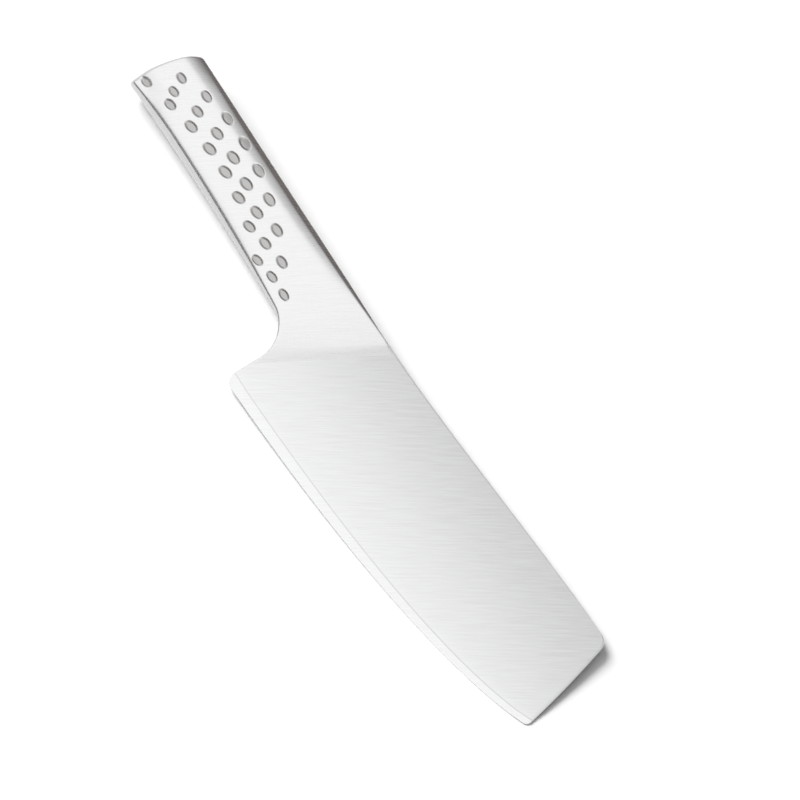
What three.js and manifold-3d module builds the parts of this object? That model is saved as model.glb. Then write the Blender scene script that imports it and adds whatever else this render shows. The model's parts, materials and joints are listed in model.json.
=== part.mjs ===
// A vegetable knife made all of stainless steel. A flat-ground blade blank ends in shoulders and a
// short tang. Two pressed half shells close over the shoulders and the tang and make the hollow,
// dimpled handle. Loose sand behind the tang balances the blade.
//
// Millimetres. The knife is drawn flat first: +X runs from the butt to the tip, +Y points to the
// spine, Z = 0 is the mid plane, and X = 0 is the spine end of the neck line, where the shells run
// out onto the blade. At the end of the file it is laid down as it comes to rest on a table.

import * as THREE from 'three';
import { mergeVertices } from 'three/addons/utils/BufferGeometryUtils.js';
import { ConvexHull } from 'three/addons/math/ConvexHull.js';
import Module from 'manifold-3d';

// Blade, seen flat
const TIP_REACH = 146.8; // neck line to the edge corner of the tip
const TIP_SETBACK = 10.2; // the tip's spine corner stands this far behind its edge corner
const TIP_BOW = 0.8; // control point of the tip's curve, ahead of its chord
const SPINE_RISE = 5.7; // spine at the tip, above the spine at the neck
const SPINE_CORNER = 5; // rounding of the tip's spine corner
const HEEL_SETBACK = 21.2; // heel line behind the spine end of the neck line
const HEEL_DEPTH = 55; // spine to cutting edge at the heel
const HEEL_CORNER = 4.6; // rounding between heel line and cutting edge
const HEEL_FILLET = 15; // hollow curve between handle and heel line
const EDGE_RISE = 23.2; // cutting edge at the tip, above the edge at the heel

// Blade, in its thickness
const SPINE_THICKNESS = 2.2; // at the neck
const TIP_THINNING = 0.8; // spine thickness lost between neck and tip
const EDGE_THICKNESS = 0.7; // just above the edge bevel, at the heel
const EDGE_BEVEL = 3.1; // width of the ground edge bevel at the heel
const EDGE_FLAT = 0.1; // the cutting edge itself

// Handle, seen flat
const HANDLE_LENGTH = 145.5; // butt to the spine end of the neck line
const GRIP_WIDTH = 26.6;
const NECK_DRAW_IN = 1; // the spine side comes in this much between butt and neck
const BELLY_WAIST = 1.2; // the belly side draws in this much at the middle
const BUTT_SLANT = 6.4; // the butt's spine corner stands ahead of its belly corner
const BUTT_BOW = 2.2; // the butt's end bulges this far past its chord
const BUTT_CORNER = 4; // rounding of the butt's spine corner in plan
const NECK_TURN = 6; // degrees of the heel fillet left uncovered by the shells

// Handle, in its thickness
const BELLY_BEVEL = 1.8; // steep bevel on the belly side, its width in plan
const BELLY_EDGE_RISE = 1.9; // the top face's edge above the belly bevel
const SPINE_EDGE_RISE = 5.2; // the top face climbs to this height, if it ran on to the spine bevel
const FACE_TURN = 1.7; // but it turns down this much where it nears the spine bevel
const FACE_TURN_START = 0.78; // share of the face's width at which that begins
const SPINE_BEVEL = 3.3; // shallow bevel on the spine side, in plan
const SPINE_BAND = 2; // upright band below the spine bevel
const GRIP_FRONT = 0.62; // share of the length from which the grip thins towards the neck
const BUTT_SWELL = 1.5; // both faces stand this much higher at the butt than at the grip's front
const BUTT_ROUND = 4; // rounding of the butt from the top face to the side band
const LIP = 0.8; // the shells end this far above the blade at the neck line

// Construction
const SHELL_WALL = 1.4;
const WELD_GAP = 0.3; // room kept between welded or seated pieces
const SHOULDER_LAP = 14; // the blank's shoulders reach this far back under the shells
const TANG_WIDTH = 11;
const TANG_LENGTH = 32;
const TANG_THICKNESS = 1.8;

// Grip dimples
const DIMPLE_LENGTH = 6.3;
const DIMPLE_WIDTH = 3.8;
const DIMPLE_DEPTH = 0.7;
const DIMPLE_END_SIZE = 0.82; // dimples at a row's ends, against those at its middle

// Each row bends like a bow with four control points. A point gives its share of the handle's
// length, from the butt, and its share of the width, from the belly.
const DIMPLE_ROWS = [
  { count: 8, bow: [[0.04, 0.18], [0.265, 0.48], [0.415, 0.48], [0.64, 0.13]] },
  { count: 8, bow: [[0.105, 0.41], [0.305, 0.76], [0.49, 0.59], [0.7, 0.16]] },
  { count: 9, bow: [[0.085, 0.58], [0.305, 1.08], [0.545, 0.76], [0.76, 0.16]] },
];

const STEEL_DENSITY = 7.85; // grams per cubic centimetre
const SAND_DENSITY = 2.7;

const wasm = await Module();
wasm.setup();

// Helpers for curves and numbers

const { lerp } = THREE.MathUtils;

function flat(x, y) {
  return new THREE.Vector2(x, y);
}

function path(...curves) {
  const joined = new THREE.CurvePath();
  curves.forEach((curve) => joined.add(curve));
  return joined;
}

// Rises from 0 to 1 over a quarter circle of the given radius
function quarterRound(distance, radius) {
  if (distance >= radius) return 1;
  const left = 1 - Math.max(distance, 0) / radius;
  return Math.sqrt(Math.max(1 - left * left, 0));
}

// Falls from 1 at the start to 0 at the end, slowly at first
function runOut(share, start, end, power) {
  const travelled = THREE.MathUtils.clamp((share - start) / (end - start), 0, 1);
  return 1 - travelled ** power;
}

// Rises from 0 to 1 at the peak and falls to 0 again, like a crescent's width
function crescent(share, start, peak, end, power) {
  const reach = share < peak ? peak - start : end - peak;
  return Math.max(1 - (Math.abs(share - peak) / reach) ** power, 0);
}

// Outlines

const spineY = GRIP_WIDTH / 2 - NECK_DRAW_IN;
const buttSpineY = GRIP_WIDTH / 2;
const bellyY = -GRIP_WIDTH / 2 - BELLY_WAIST;
const edgeHeelY = spineY - HEEL_DEPTH;
const edgeTipY = edgeHeelY + EDGE_RISE;
const tipSpineY = spineY + SPINE_RISE;

const filletCentre = flat(-HEEL_SETBACK - HEEL_FILLET, bellyY - HEEL_FILLET);
const neckAngle = THREE.MathUtils.degToRad(NECK_TURN);

function filletPoint(angle) {
  const reach = flat(Math.cos(angle), Math.sin(angle)).multiplyScalar(HEEL_FILLET);
  return reach.add(filletCentre);
}

// A turn on the heel fillet; both angles are in radians from +X
function filletArc(from, to) {
  const { x, y } = filletCentre;
  return new THREE.EllipseCurve(x, y, HEEL_FILLET, HEEL_FILLET, from, to, to < from);
}

const buttBelly = flat(-HANDLE_LENGTH, bellyY + BELLY_WAIST / 2);
const filletStart = filletPoint(Math.PI / 2);
const waistControl = flat((buttBelly.x + filletStart.x) / 2, bellyY + 1.75 * BELLY_WAIST);
const bellySide = path(
  new THREE.QuadraticBezierCurve(buttBelly, waistControl, filletStart),
  filletArc(Math.PI / 2, neckAngle),
);
const spineSide = new THREE.LineCurve(flat(BUTT_SLANT - HANDLE_LENGTH, buttSpineY), flat(0, spineY));
const spineSideLength = spineSide.getLength();

// The handle's plan: one station joins a point of the belly side to one of the spine side

function station(share, inset) {
  const belly = bellySide.getPoint(share);
  const spine = spineSide.getPoint(share);
  const fromButt = share * spineSideLength - inset;
  const corner = Math.max(BUTT_CORNER - inset, 0.1);
  spine.y -= corner * (1 - quarterRound(fromButt, corner));
  return { belly, spine, width: belly.distanceTo(spine) };
}

function stationPoint(at, across) {
  return at.belly.clone().lerp(at.spine, across / at.width);
}

function buttBulge(share, across, width) {
  const fade = Math.max(1 - share / 0.3, 0) ** 2;
  const v = across / width;
  return BUTT_BOW * fade * 4 * v * (1 - v);
}

// Half the blade's thickness on its flat-ground face, which is one plane
const grindSlope = (SPINE_THICKNESS - EDGE_THICKNESS) / 2 / HEEL_DEPTH;
const thinningSlope = TIP_THINNING / 2 / TIP_REACH;

function bladeHalf(x, y) {
  return SPINE_THICKNESS / 2 - grindSlope * (spineY - y) - thinningSlope * x;
}

// The handle's section: rise of the top face above the side band, from the belly to the spine

function bevels(share) {
  return {
    belly: BELLY_BEVEL * crescent(share, -0.06, 0.22, 0.9, 2) + 0.1,
    spine: SPINE_BEVEL * crescent(share, -0.04, 0.5, 1, 3) + 0.1,
  };
}

function swell(share) {
  return BUTT_SWELL * Math.max(1 - share / GRIP_FRONT, 0) ** 1.4;
}

function faceRise(share, v) {
  const belly = BELLY_EDGE_RISE * runOut(share, 0.2, 0.96, 2.4);
  const thinning = runOut(share, GRIP_FRONT, 1, 1.7);
  const turned = Math.max((v - FACE_TURN_START) / (1 - FACE_TURN_START), 0);
  const slope = lerp(belly, SPINE_EDGE_RISE * thinning, v);
  return LIP + swell(share) + slope - FACE_TURN * thinning * turned ** 2;
}

function spineBand(share) {
  return SPINE_BAND * runOut(share, GRIP_FRONT, 1, 1.7) + swell(share);
}

const FACE_STEPS = 8;

// Points of the top of one section, from the belly to the spine. A wall thickness moves the
// section inwards, for what lies inside the shells.
function sectionTop(share, inset) {
  const at = station(share, inset);
  const bevel = bevels(share);
  const round = quarterRound(share * HANDLE_LENGTH - inset, Math.max(BUTT_ROUND - inset, 0.1));
  const first = bevel.belly + inset;
  const last = at.width - bevel.spine - inset;
  const points = [];
  const add = (across, rise) => {
    const place = stationPoint(at, across);
    const z = bladeHalf(place.x, place.y) + rise * round - inset;
    points.push(new THREE.Vector3(place.x - buttBulge(share, across, at.width), place.y, z));
  };
  add(inset, 0);
  for (let step = 0; step <= FACE_STEPS; step += 1) {
    const v = step / FACE_STEPS;
    add(lerp(first, last, v), faceRise(share, v));
  }
  add(at.width - inset, spineBand(share));
  return points;
}

// A point of the outer top face, by its shares of the length and of the width
function facePoint(share, v) {
  const at = station(share, 0);
  const across = v * at.width;
  const bevel = bevels(share);
  const top = (across - bevel.belly) / (at.width - bevel.belly - bevel.spine);
  const round = quarterRound(share * HANDLE_LENGTH, BUTT_ROUND);
  const place = stationPoint(at, across);
  const z = bladeHalf(place.x, place.y) + faceRise(share, THREE.MathUtils.clamp(top, 0, 1)) * round;
  return new THREE.Vector3(place.x - buttBulge(share, across, at.width), place.y, z);
}

// Shares of the length at which sections stand: close together round the butt, even after it
const BUTT_STEPS = 4;
const GRIP_STEPS = 26;

function stationShares(inset, end) {
  const shares = [];
  const start = inset / HANDLE_LENGTH;
  const roundEnd = (Math.max(BUTT_ROUND, BUTT_CORNER) * 1.02) / HANDLE_LENGTH;
  for (let step = 0; step < BUTT_STEPS; step += 1) {
    const angle = (step / BUTT_STEPS) * (Math.PI / 2);
    shares.push(lerp(start, roundEnd, 1 - Math.cos(angle)));
  }
  for (let step = 0; step <= GRIP_STEPS; step += 1) {
    shares.push(lerp(roundEnd, end, step / GRIP_STEPS));
  }
  return shares;
}

// Meshes

function meshOf(points, triangles) {
  const geometry = new THREE.BufferGeometry();
  geometry.setAttribute('position', new THREE.Float32BufferAttribute(points.flatMap((p) => p.toArray()), 3));
  geometry.setIndex(volumeOf(points, triangles) < 0 ? triangles.reverse() : triangles);
  return geometry;
}

function volumeOf(points, triangles) {
  let total = 0;
  for (let i = 0; i < triangles.length; i += 3) {
    const [a, b, c] = triangles.slice(i, i + 3).map((index) => points[index]);
    total += a.dot(b.clone().cross(c)) / 6;
  }
  return total;
}

// A closed solid through loops that have the same count of points, with flat fans at both ends
function loft(loops) {
  const count = loops[0].length;
  const triangles = [];
  for (let row = 0; row + 1 < loops.length; row += 1) {
    for (let i = 0; i < count; i += 1) {
      const a = row * count + i;
      const b = row * count + ((i + 1) % count);
      triangles.push(a, b, b + count, a, b + count, a + count);
    }
  }
  const end = (loops.length - 1) * count;
  for (let i = 1; i + 1 < count; i += 1) {
    triangles.push(0, i + 1, i, end, end + i, end + i + 1);
  }
  return meshOf(loops.flat(), triangles);
}

// A closed slab between two sheets of points, each a grid of the same rows and columns
function slab(top, bottom) {
  const rows = top.length;
  const columns = top[0].length;
  const under = rows * columns;
  const triangles = [];
  const quad = (a, b, c, d) => triangles.push(a, b, c, a, c, d);
  for (let r = 0; r + 1 < rows; r += 1) {
    for (let c = 0; c + 1 < columns; c += 1) {
      const a = r * columns + c;
      quad(a, a + columns, a + columns + 1, a + 1);
      quad(under + a, under + a + 1, under + a + columns + 1, under + a + columns);
    }
    const left = r * columns;
    const right = left + columns - 1;
    quad(left, under + left, under + left + columns, left + columns);
    quad(right, right + columns, under + right + columns, under + right);
  }
  for (let c = 0; c + 1 < columns; c += 1) {
    const end = (rows - 1) * columns + c;
    quad(c, c + 1, under + c + 1, under + c);
    quad(end, under + end, under + end + 1, end + 1);
  }
  return meshOf([...top.flat(), ...bottom.flat()], triangles);
}

function solidOf(geometry) {
  const bare = geometry.clone();
  bare.deleteAttribute('normal');
  bare.deleteAttribute('uv');
  const merged = mergeVertices(bare, 1e-5);
  const vertProperties = new Float32Array(merged.getAttribute('position').array);
  const triVerts = new Uint32Array(merged.getIndex().array);
  return new wasm.Manifold(new wasm.Mesh({ numProp: 3, vertProperties, triVerts }));
}

function geometryOf(solid) {
  const mesh = solid.getMesh();
  const geometry = new THREE.BufferGeometry();
  geometry.setAttribute('position', new THREE.BufferAttribute(new Float32Array(mesh.vertProperties), 3));
  geometry.setIndex(new THREE.BufferAttribute(new Uint32Array(mesh.triVerts), 1));
  return geometry;
}

function mirrored(geometry) {
  const copy = geometry.clone().scale(1, 1, -1);
  copy.setIndex(Array.from(copy.getIndex().array).reverse());
  return copy;
}

// Blade blank

const heelX = -HEEL_SETBACK;
const shoulderSpine = flat(-SHOULDER_LAP, spineY);
const shoulderTurn = neckAngle + SHOULDER_LAP / HEEL_FILLET;
const shoulderBelly = filletPoint(Math.min(shoulderTurn, Math.PI / 2));
const tipEdge = flat(TIP_REACH, edgeTipY);
const tipCorner = flat(TIP_REACH - TIP_SETBACK, tipSpineY);
const tipDirection = tipCorner.clone().sub(tipEdge).normalize();
const cornerBelow = tipCorner.clone().addScaledVector(tipDirection, -SPINE_CORNER);
const cornerBehind = flat(tipCorner.x - SPINE_CORNER, tipSpineY);
const tipControl = tipEdge.clone().lerp(cornerBelow, 0.5).add(flat(TIP_BOW, 0));
const edgeStart = flat(heelX + HEEL_CORNER, edgeHeelY);

const outline = {
  rear: path(
    new THREE.QuadraticBezierCurve(edgeStart, flat(heelX, edgeHeelY), flat(heelX, edgeHeelY + HEEL_CORNER)),
    new THREE.LineCurve(flat(heelX, edgeHeelY + HEEL_CORNER), filletPoint(0)),
    filletArc(0, Math.min(shoulderTurn, Math.PI / 2)),
    new THREE.LineCurve(shoulderBelly, shoulderSpine),
  ),
  tip: path(
    new THREE.QuadraticBezierCurve(tipEdge, tipControl, cornerBelow),
    new THREE.QuadraticBezierCurve(cornerBelow, tipCorner, cornerBehind),
  ),
  spine: path(
    new THREE.LineCurve(shoulderSpine, flat(0, spineY)),
    new THREE.CubicBezierCurve(
      flat(0, spineY),
      flat(cornerBehind.x * 0.31, spineY),
      flat(cornerBehind.x * 0.7, tipSpineY - SPINE_RISE * 0.12),
      cornerBehind,
    ),
  ),
  edge: new THREE.CubicBezierCurve(
    edgeStart,
    flat(lerp(edgeStart.x, tipEdge.x, 0.345), edgeHeelY + EDGE_RISE * 0.1),
    flat(lerp(edgeStart.x, tipEdge.x, 0.787), edgeHeelY + EDGE_RISE * 0.35),
    tipEdge,
  ),
};

// The blade's plan is spanned between its four outlines
function bladePlan(along, across) {
  const lengthwise = outline.edge.getPoint(along).lerp(outline.spine.getPoint(along), across);
  const crosswise = outline.rear.getPoint(across).lerp(outline.tip.getPoint(across), along);
  const heelLine = edgeStart.clone().lerp(shoulderSpine, across);
  const tipLine = tipEdge.clone().lerp(cornerBehind, across);
  return lengthwise.add(crosswise).sub(heelLine.lerp(tipLine, along));
}

const BLADE_COLUMNS = 24;
const BLADE_ROWS = 18;
const BEVEL_ROWS = 3;

function bladeSheet(side) {
  const bevelShare = EDGE_BEVEL / HEEL_DEPTH;
  const shares = [];
  for (let row = 0; row < BEVEL_ROWS; row += 1) {
    shares.push((bevelShare * row) / BEVEL_ROWS);
  }
  for (let row = 0; row <= BLADE_ROWS; row += 1) {
    const even = row / BLADE_ROWS;
    const crowded = even - Math.sin(2 * Math.PI * even) / (4 * Math.PI);
    shares.push(lerp(bevelShare, 1, crowded));
  }
  const sheet = [];
  for (let column = 0; column <= BLADE_COLUMNS; column += 1) {
    sheet.push(shares.map((across) => {
      const { x, y } = bladePlan(column / BLADE_COLUMNS, across);
      const half = lerp(EDGE_FLAT / 2, bladeHalf(x, y), Math.min(across / bevelShare, 1));
      return new THREE.Vector3(x, y, side * half);
    }));
  }
  return sheet;
}

// A bar along X that lies across the middle of the shoulder line, grown all round by some room
const tangMiddle = shoulderBelly.clone().lerp(shoulderSpine, 0.55);
const tangEnd = tangMiddle.x - TANG_LENGTH;

function tangBar(room) {
  const front = tangMiddle.x + TANG_WIDTH;
  const length = front - tangEnd + room;
  const bar = new THREE.BoxGeometry(length, TANG_WIDTH + 2 * room, TANG_THICKNESS + 2 * room);
  return bar.translate(front - length / 2, tangMiddle.y, 0);
}

function bladeBlank() {
  const plate = solidOf(slab(bladeSheet(1), bladeSheet(-1)));
  return geometryOf(plate.add(solidOf(tangBar(0))));
}

// Handle shells

function shellOuter() {
  const loops = stationShares(0, 1).map((share) => {
    const top = sectionTop(share, 0);
    const foot = (point) => new THREE.Vector3(point.x, point.y, WELD_GAP / 2);
    return [foot(top[0]), ...top, foot(top.at(-1))];
  });
  return solidOf(loft(loops));
}

const CAVITY_END = 0.93; // share of the length where the hollow has run out

// Everything under the top face, moved inwards by a wall thickness and open below
function hollow(inset, end) {
  const loops = stationShares(inset, end).map((share) => {
    const top = sectionTop(share, inset);
    const foot = (point) => new THREE.Vector3(point.x, point.y, -GRIP_WIDTH);
    return [foot(top[0]), ...top, foot(top.at(-1))];
  });
  return loft(loops);
}

// Room for the blank's shoulders: everything below the blade's face, from the shoulder line on
function shoulderRoom() {
  const back = shoulderSpine.clone().sub(shoulderBelly).normalize();
  const behind = flat(-back.y, back.x).multiplyScalar(WELD_GAP);
  const from = shoulderBelly.clone().addScaledVector(back, -HEEL_DEPTH).add(behind);
  const to = shoulderSpine.clone().addScaledVector(back, HEEL_DEPTH).add(behind);
  const ahead = flat(TIP_REACH, 0);
  const sheet = (height) => [from, to].map((corner) => [0, 1].map((step) => {
    const { x, y } = corner.clone().addScaledVector(ahead, step);
    return new THREE.Vector3(x, y, height(x, y));
  }));
  const top = sheet((x, y) => bladeHalf(x, y) + WELD_GAP);
  const bottom = sheet(() => -HEEL_DEPTH);
  return solidOf(slab(top, bottom));
}

// A dimple is pressed in by an oval tool whose widest section stands above the skin
const TOOL_LIFT = 0.5; // height of that section over the skin, as a share of the tool's half height

function dimpleTool(share, v, size) {
  const step = 0.004;
  const place = facePoint(share, v);
  const along = facePoint(share + step, v).sub(facePoint(share - step, v)).normalize();
  const across = facePoint(share, v + step).sub(facePoint(share, v - step)).normalize();
  const up = along.clone().cross(across).normalize();
  const side = up.clone().cross(along);
  const widen = size / Math.sqrt(1 - TOOL_LIFT ** 2) / 2;
  const half = DIMPLE_DEPTH / (1 - TOOL_LIFT);
  const tool = new THREE.SphereGeometry(1, 12, 10).rotateX(Math.PI / 2);
  tool.scale(DIMPLE_LENGTH * widen, DIMPLE_WIDTH * widen, half);
  tool.translate(0, 0, half * TOOL_LIFT);
  const turn = new THREE.Matrix4().makeBasis(along, side, up).setPosition(place);
  return solidOf(tool.applyMatrix4(turn));
}

// The share of the way from butt to neck line at which a line across the face reaches X
function shareAt(x, v) {
  let low = 0;
  let high = 1;
  for (let halving = 0; halving < 30; halving += 1) {
    const share = (low + high) / 2;
    if (facePoint(share, v).x < x) low = share;
    else high = share;
  }
  return low;
}

function dimpleTools() {
  return DIMPLE_ROWS.flatMap(({ count, bow }) => {
    const row = new THREE.CubicBezierCurve(...bow.map((point) => flat(...point)));
    return Array.from({ length: count }, (_, index) => {
      const along = index / (count - 1);
      const place = row.getPoint(along);
      const share = shareAt(HANDLE_LENGTH * (place.x - 1), place.y);
      return dimpleTool(share, place.y, lerp(DIMPLE_END_SIZE, 1, Math.sin(Math.PI * along)));
    });
  });
}

function upperShell() {
  let shell = shellOuter().subtract(solidOf(hollow(SHELL_WALL, CAVITY_END)));
  shell = shell.subtract(shoulderRoom());
  shell = shell.subtract(solidOf(tangBar(WELD_GAP)));
  dimpleTools().forEach((tool) => {
    shell = shell.subtract(tool);
  });
  return geometryOf(shell);
}

// Balance fill: sand in the hollow behind the tang

function balanceFill() {
  const inset = SHELL_WALL + WELD_GAP;
  const { x: from } = spineSide.getPoint(0);
  const front = (tangEnd - WELD_GAP - from) / spineSideLength;
  const above = hollow(inset, front);
  return geometryOf(solidOf(above).intersect(solidOf(mirrored(above))));
}

// Pieces

const pieces = [
  { name: 'blade', geometry: bladeBlank(), density: STEEL_DENSITY, color: 0xcfd1d2, roughness: 0.32, metalness: 1 },
];
const shellGeometry = upperShell();
const shellFinish = { density: STEEL_DENSITY, color: 0xdcdedf, roughness: 0.36, metalness: 1 };
pieces.push({ name: 'handle_upper_shell', geometry: shellGeometry, ...shellFinish });
pieces.push({ name: 'handle_lower_shell', geometry: mirrored(shellGeometry), ...shellFinish });
pieces.push({
  name: 'balance_fill',
  geometry: balanceFill(),
  density: SAND_DENSITY,
  color: 0xc8b58c,
  roughness: 0.95,
  metalness: 0,
});

// Rest: the knife lies on the face of its convex hull that is under its balance point

function cornersOf(geometry) {
  const places = geometry.getAttribute('position');
  return Array.from({ length: places.count }, (_, i) => new THREE.Vector3().fromBufferAttribute(places, i));
}

function balancePoint() {
  const sum = new THREE.Vector3();
  let mass = 0;
  for (const { geometry, density } of pieces) {
    const corners = cornersOf(geometry);
    const order = geometry.getIndex().array;
    for (let i = 0; i < order.length; i += 3) {
      const [a, b, c] = [corners[order[i]], corners[order[i + 1]], corners[order[i + 2]]];
      const part = (density * a.dot(b.clone().cross(c))) / 6;
      sum.addScaledVector(a.clone().add(b).add(c), part / 4);
      mass += part;
    }
  }
  return sum.divideScalar(mass);
}

function restingTurn() {
  const corners = pieces.flatMap(({ geometry }) => cornersOf(geometry));
  const centre = balancePoint();
  const down = new THREE.Vector3(0, 0, -1);
  const lying = new ConvexHull().setFromPoints(corners).faces.find((face) => {
    if (face.normal.z > -0.9) return false;
    const triangle = [0, 1, 2].map((i) => face.getEdge(i).head().point);
    const below = centre.clone().addScaledVector(face.normal, -face.distanceToPoint(centre));
    return THREE.Triangle.containsPoint(below, ...triangle);
  });
  return new THREE.Quaternion().setFromUnitVectors(lying.normal, down);
}

const knife = new THREE.Group();
for (const { name, geometry, color, roughness, metalness } of pieces) {
  const mesh = new THREE.Mesh(geometry, new THREE.MeshStandardMaterial({ color, roughness, metalness }));
  mesh.name = name;
  knife.add(mesh);
}
knife.quaternion.copy(restingTurn());
knife.updateMatrixWorld(true);

// The origin lies on the table, under the middle of the knife
const box = new THREE.Box3().setFromObject(knife, true);
const middle = box.getCenter(new THREE.Vector3());
knife.position.set(-middle.x, -middle.y, -box.min.z);

const part = new THREE.Group();
part.add(knife);

export default part;
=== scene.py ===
# %% [markdown]
# # A stainless steel vegetable knife
#
# The knife is all metal: a broad flat-ground blade whose neck disappears between two pressed half
# shells. The shells are the handle. Three bowed rows of oval dimples give the hand its grip. This
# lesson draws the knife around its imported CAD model, in metres and in the same place, and then
# lights it the way bare metal is lit in a studio.

import json
import math

import bpy
import numpy as np
from mathutils import Matrix, Vector


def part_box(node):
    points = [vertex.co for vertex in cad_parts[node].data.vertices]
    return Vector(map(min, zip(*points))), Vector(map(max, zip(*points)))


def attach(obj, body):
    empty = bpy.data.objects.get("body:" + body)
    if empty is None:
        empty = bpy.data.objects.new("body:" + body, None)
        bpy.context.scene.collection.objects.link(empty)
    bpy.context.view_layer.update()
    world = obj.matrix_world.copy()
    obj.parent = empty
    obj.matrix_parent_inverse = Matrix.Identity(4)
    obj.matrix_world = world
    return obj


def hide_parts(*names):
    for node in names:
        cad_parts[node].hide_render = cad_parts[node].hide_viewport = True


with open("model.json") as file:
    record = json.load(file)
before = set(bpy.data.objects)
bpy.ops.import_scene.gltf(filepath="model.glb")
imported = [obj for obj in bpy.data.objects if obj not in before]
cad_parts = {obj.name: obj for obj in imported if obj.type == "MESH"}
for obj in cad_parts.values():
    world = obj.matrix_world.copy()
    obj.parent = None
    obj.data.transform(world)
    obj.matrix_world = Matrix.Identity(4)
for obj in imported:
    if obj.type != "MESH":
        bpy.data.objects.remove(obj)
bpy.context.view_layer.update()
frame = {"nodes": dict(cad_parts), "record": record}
MM = 0.001

# %% [markdown]
# ## How the knife lies
#
# A knife is easiest to draw flat: X runs from the butt to the tip, Y points to the spine and Z = 0
# is the mid plane between its two faces. X = 0 is where the neck line, at which the shells run out
# onto the blade, meets the spine. On the table the knife leans, because it rests on the handle and
# on the cutting edge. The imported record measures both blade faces. They are mirror images, so the
# difference of their directions is square to the mid plane, and that gives the lean. Typing in the
# angle would work too, but it would go wrong as soon as the CAD model changed.

# %% The turn from the flat drawing to the table
UPWARD = Vector((0, 0, 1))
face_axes = {mount["name"]: Vector(mount["axis"]) for mount in frame["record"]["mounts"]}
mid_plane_axis = (face_axes["blade_face_upper"] - face_axes["blade_face_lower"]).normalized()
lie = np.array(UPWARD.rotation_difference(mid_plane_axis).to_matrix())
lean = math.degrees(mid_plane_axis.angle(UPWARD))
print("The knife leans by", round(lean, 2), "degrees")

# %% [markdown]
# ## Curves
#
# Every outline of the knife is a Bezier curve, an arc or a chain of them. Blender's own curve
# objects could hold them, but plain arrays of points are easier to measure and to span a surface
# from. A chain is resampled by arc length, so that a share of 0.5 is halfway along it.

# %% Curve helpers
def bezier(points, t):
    """The point of a Bezier curve of any degree, for an array of parameters."""
    points = [np.asarray(p, float) for p in points]
    t = np.asarray(t, float)[..., None]
    while len(points) > 1:
        points = [a + (b - a) * t for a, b in zip(points, points[1:])]
    return points[0]


def arc(centre, radius, start, end, count=80):
    turn = np.linspace(start, end, count)
    return np.stack([centre[0] + radius * np.cos(turn), centre[1] + radius * np.sin(turn)], axis=-1)


def chain_length(chain):
    return np.linalg.norm(np.diff(chain, axis=0), axis=1).sum()


def along(chain, shares, whole=None):
    """Points at shares of the length of a chain of points, or of a given length on it."""
    steps = np.linalg.norm(np.diff(chain, axis=0), axis=1)
    length = np.concatenate([[0], np.cumsum(steps)])
    wanted = np.asarray(shares) * (whole or length[-1])
    return np.stack([np.interp(wanted, length, chain[:, k]) for k in range(2)], axis=-1)


def smooth_step(start, end, values):
    t = np.clip((values - start) / (end - start), 0, 1)
    return t * t * (3 - 2 * t)


FINE = np.linspace(0, 1, 120)
print("Curves are drawn with", len(FINE), "points")

# %% [markdown]
# ## The blade's thickness
#
# A flat-ground blade is a long wedge: each face is one plane from the thick spine to the thin
# edge, and it also thins towards the tip. The shells later sit on this same plane, so one function
# gives it to both. All sizes are in millimetres and come from the CAD model. A few of the later
# ones are trimmed to the photograph: the corners of the tip and the heel, the edge bevel, the
# dimples, the turn-over of the handle's face, its spine bevel and the rounding of the butt.

# %% Half the blade's thickness
TIP_REACH = 146.8  # neck line to the edge corner of the tip
HEEL_DEPTH = 55  # spine to cutting edge at the heel
SPINE_THICKNESS = 2.2  # at the neck
TIP_THINNING = 0.8  # spine thickness lost between neck and tip
EDGE_THICKNESS = 0.7  # just above the edge bevel, at the heel
GRIP_WIDTH = 26.6
NECK_DRAW_IN = 1  # the spine side comes in this much between butt and neck

spine_y = GRIP_WIDTH / 2 - NECK_DRAW_IN
grind_slope = (SPINE_THICKNESS - EDGE_THICKNESS) / 2 / HEEL_DEPTH
thinning_slope = TIP_THINNING / 2 / TIP_REACH


def blade_half(x, y):
    return SPINE_THICKNESS / 2 - grind_slope * (spine_y - y) - thinning_slope * x


print("Thickness at the neck's spine, mm:", round(2 * blade_half(0, spine_y), 2))

# %% [markdown]
# ## A mesh from a grid of points
#
# The shells and the blade are both sheets of points in rows and columns. They could be boxes with
# modifiers, but a sheet puts every point exactly where the section or the outline wants it. One
# function turns such a sheet, drawn flat in millimetres, into a smooth mesh that lies on the table.
# It also writes a UV map, which later tells the steel which way its grain runs.

# %% Grid mesh
def grid_faces(rows, columns, flipped=False):
    index = np.arange(rows * columns).reshape(rows, columns)
    corners = [index[:-1, :-1], index[1:, :-1], index[1:, 1:], index[:-1, 1:]]
    quads = np.stack(corners, axis=-1).reshape(-1, 4)
    return quads[:, ::-1] if flipped else quads


def mesh_piece(name, points, faces, offset, uv):
    """A smooth mesh object from flat-drawn points in mm, laid on the table."""
    placed = (points @ lie.T + offset) * MM
    mesh = bpy.data.meshes.new(name)
    mesh.from_pydata(placed.tolist(), [], faces.tolist())
    mesh.polygons.foreach_set("use_smooth", [True] * len(mesh.polygons))
    layer = mesh.uv_layers.new(name="grain")
    corners = np.empty(len(mesh.loops), dtype=np.int32)
    mesh.loops.foreach_get("vertex_index", corners)
    layer.data.foreach_set("uv", (uv[corners] * MM).ravel())
    piece = bpy.data.objects.new(name, mesh)
    bpy.context.scene.collection.objects.link(piece)
    print(name, "has", len(mesh.vertices), "points and", len(mesh.polygons), "faces")
    return piece


print("A sheet of 3 by 4 points has", len(grid_faces(3, 4)), "faces")

# %% [markdown]
# ## The handle's plan
#
# Seen from above, the belly side of the handle is a slightly waisted curve that turns into the
# hollow of the heel, and the spine side is straight. A closed outline could be filled and extruded,
# but the handle's sections have to be strung between its two sides, so these are kept apart. Both
# run on past the neck line, because the ground weld laps over the blade.

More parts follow.
